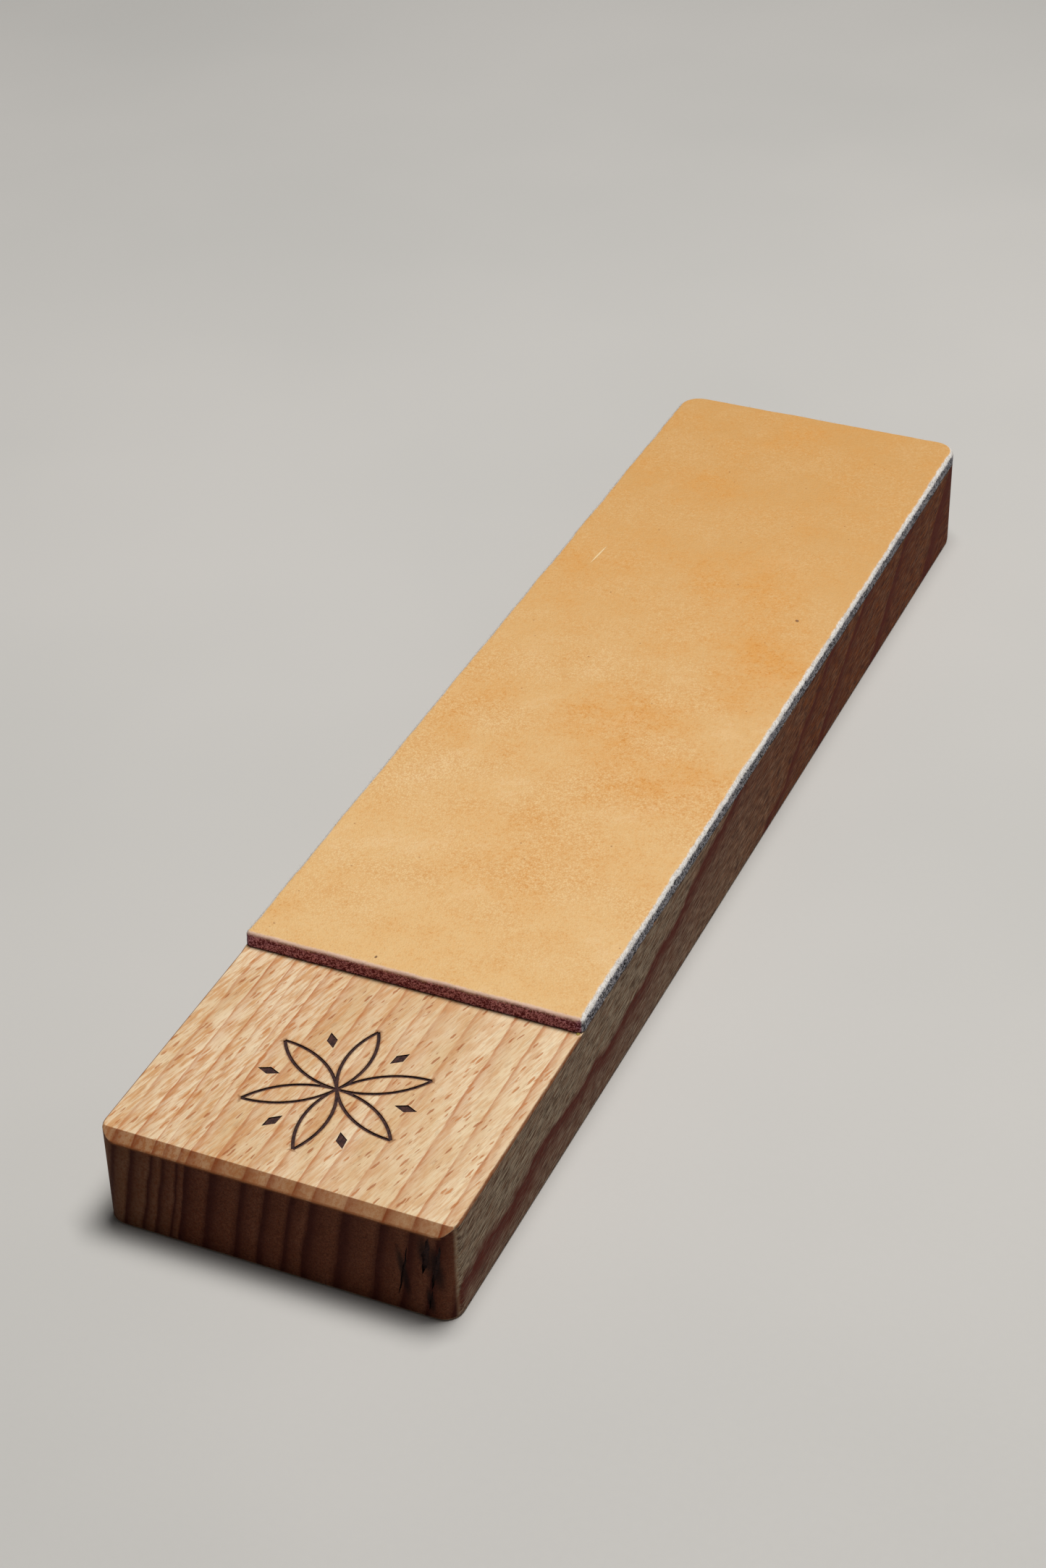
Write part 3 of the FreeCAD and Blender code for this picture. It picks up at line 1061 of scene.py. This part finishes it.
def leather_material():
    g = Hide()
    rim_start = g.math("MULTIPLY_ADD", g.to_grip, -0.42, 0.54)
    on_rim = g.span(g.math("SUBTRACT", g.past, rim_start), -0.15, 0.35)
    softness = g.math("MULTIPLY_ADD", g.to_grip, 0.3, 0.18)
    below = g.span(g.math("DIVIDE", g.below_rim, softness), -1.0, 1.0)
    colour = g.mix(on_rim, grain_colour(g), rim_colour(g))
    colour = g.mix(below, colour, fibrous_colour(g))

    raw = g.span(g.past, 0.05, 0.6)
    grit = g.lumps((0.24, 0.24, 0.24), 2, 0.6)
    grain = g.math("ADD", g.span(g.pebble_distance, 0.0, 0.7, 1.0, 0.0), g.times(grit, 0.6))
    surface = g.bump(grain, 0.09 * MM, g.math("SUBTRACT", 0.7, g.times(raw, 0.6)))
    surface = g.bump(g.mottle, 0.12 * MM, 0.25, surface)
    surface = g.bump(g.math("MAXIMUM", g.nick, g.scratch), -0.12 * MM, 0.8, surface)
    surface = g.bump(g.fuzz, 0.2 * MM, g.span(g.below_rim, -0.3, 0.3, 0.25, 0.85), surface)
    smooth = g.span(g.speckle, 0.3, 0.7, 0.48, 0.6)
    roughness = g.math("MULTIPLY_ADD", raw, 0.34, smooth)
    return g.finish(colour, roughness, surface, Specular_IOR_Level=0.35)


def fibre_material():
    g = Graph("leather_fibre")
    shade = g.lumps((0.6, 0.6, 0.6))
    colour = g.mix(g.span(shade, 0.3, 0.7), tint(206, 194, 180), tint(238, 234, 226))
    return g.finish(colour, g.span(shade, 0.3, 0.7, 0.8, 0.95),
                    g.bump(shade, 0.01 * MM, 0.3), Specular_IOR_Level=0.2)


def adhesive_material():
    g = Graph("dried_adhesive")
    lumps = g.lumps((0.8, 0.8, 0.4), 3)
    colour = g.mix(g.span(lumps, 0.3, 0.7), tint(92, 66, 44), tint(60, 42, 30))
    from_bead = g.vector("DISTANCE", g.place, BEAD_PLACE / MM)
    colour = g.mix(g.span(from_bead, 0.5, 0.9, 1.0, 0.0), colour, tint(178, 158, 62))
    return g.finish(colour, g.span(lumps, 0.3, 0.7, 0.28, 0.45),
                    g.bump(lumps, 0.08 * MM, 0.5), Specular_IOR_Level=0.5)


# -------------------- stage

def floor_material():
    g = Graph("pale_floor")
    drift = g.lumps((160, 160, 160), 3)
    tooth = g.lumps((1.4, 1.4, 1.4), 3)
    colour = g.mix(g.span(drift, 0.2, 0.8), tint(196, 196, 194), tint(204, 203, 201))
    return g.finish(colour, g.span(tooth, 0.2, 0.8, 0.7, 0.85), g.bump(tooth, 0.05 * MM, 0.3))


def make_floor():
    """Wide round floor, a hair under the block."""
    sides = 64
    turns = [2 * math.pi * i / sides for i in range(sides)]
    rim = [(FLOOR_RADIUS * math.cos(turn), FLOOR_RADIUS * math.sin(turn),
            BLOCK_LOW.z - FLOOR_GAP) for turn in turns]
    floor = new_object("floor", rim, [tuple(range(sides))])
    floor.data.materials.append(floor_material())


def aim_at(thing, target):
    """Turns a light or camera so that it looks at the target."""
    thing.rotation_mode = "QUATERNION"
    thing.rotation_quaternion = (target - thing.location).to_track_quat("-Z", "Y")


def make_light(name, place, width, power, colour):
    """Square softbox that looks at the block's top."""
    lamp = bpy.data.lights.new(name, "AREA")
    lamp.shape = "SQUARE"
    lamp.size = width
    lamp.energy = power
    lamp.color = colour
    light = bpy.data.objects.new(name, lamp)
    light.location = place
    aim_at(light, Vector((0, 0, BLOCK_HIGH.z)))
    bpy.context.scene.collection.objects.link(light)


def make_lights():
    """One large softbox overhead and a little behind, a weak fill, and a pale surround."""
    make_light("key", **KEY_LIGHT)
    make_light("fill", **FILL_LIGHT)
    world = bpy.data.worlds.new("surround")
    world.use_nodes = True
    background = world.node_tree.nodes["Background"]
    background.inputs["Color"].default_value = SURROUND_COLOUR
    background.inputs["Strength"].default_value = SURROUND_STRENGTH
    bpy.context.scene.world = world


def make_camera():
    azimuth, elevation = math.radians(CAMERA_AZIMUTH), math.radians(CAMERA_ELEVATION)
    back = Vector((math.sin(azimuth) * math.cos(elevation),
                   -math.cos(azimuth) * math.cos(elevation), math.sin(elevation)))
    lens = bpy.data.cameras.new("camera")
    lens.sensor_fit = "VERTICAL"
    lens.sensor_height = 36
    lens.lens = LENS
    lens.clip_start = 0.01
    lens.clip_end = 30
    camera = bpy.data.objects.new("camera", lens)
    camera.location = CAMERA_AIM + back * CAMERA_DISTANCE
    upright = (-back).to_track_quat("-Z", "Y")
    roll = Quaternion((0, 0, 1), math.radians(CAMERA_ROLL))
    camera.rotation_mode = "QUATERNION"
    camera.rotation_quaternion = upright @ roll
    bpy.context.scene.collection.objects.link(camera)
    bpy.context.scene.camera = camera


# -------------------- assembly

def place_piece(piece, node):
    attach(piece, "root")
    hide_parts(node)


bpy.context.scene.view_settings.view_transform = "Standard"
make_camera()
make_floor()
make_lights()

place_piece(make_block(), "wood_block")
place_piece(make_adhesive(), "adhesive_layer")
place_piece(make_leather(), "leather_strip")
place_piece(make_fibres(), "leather_strip")
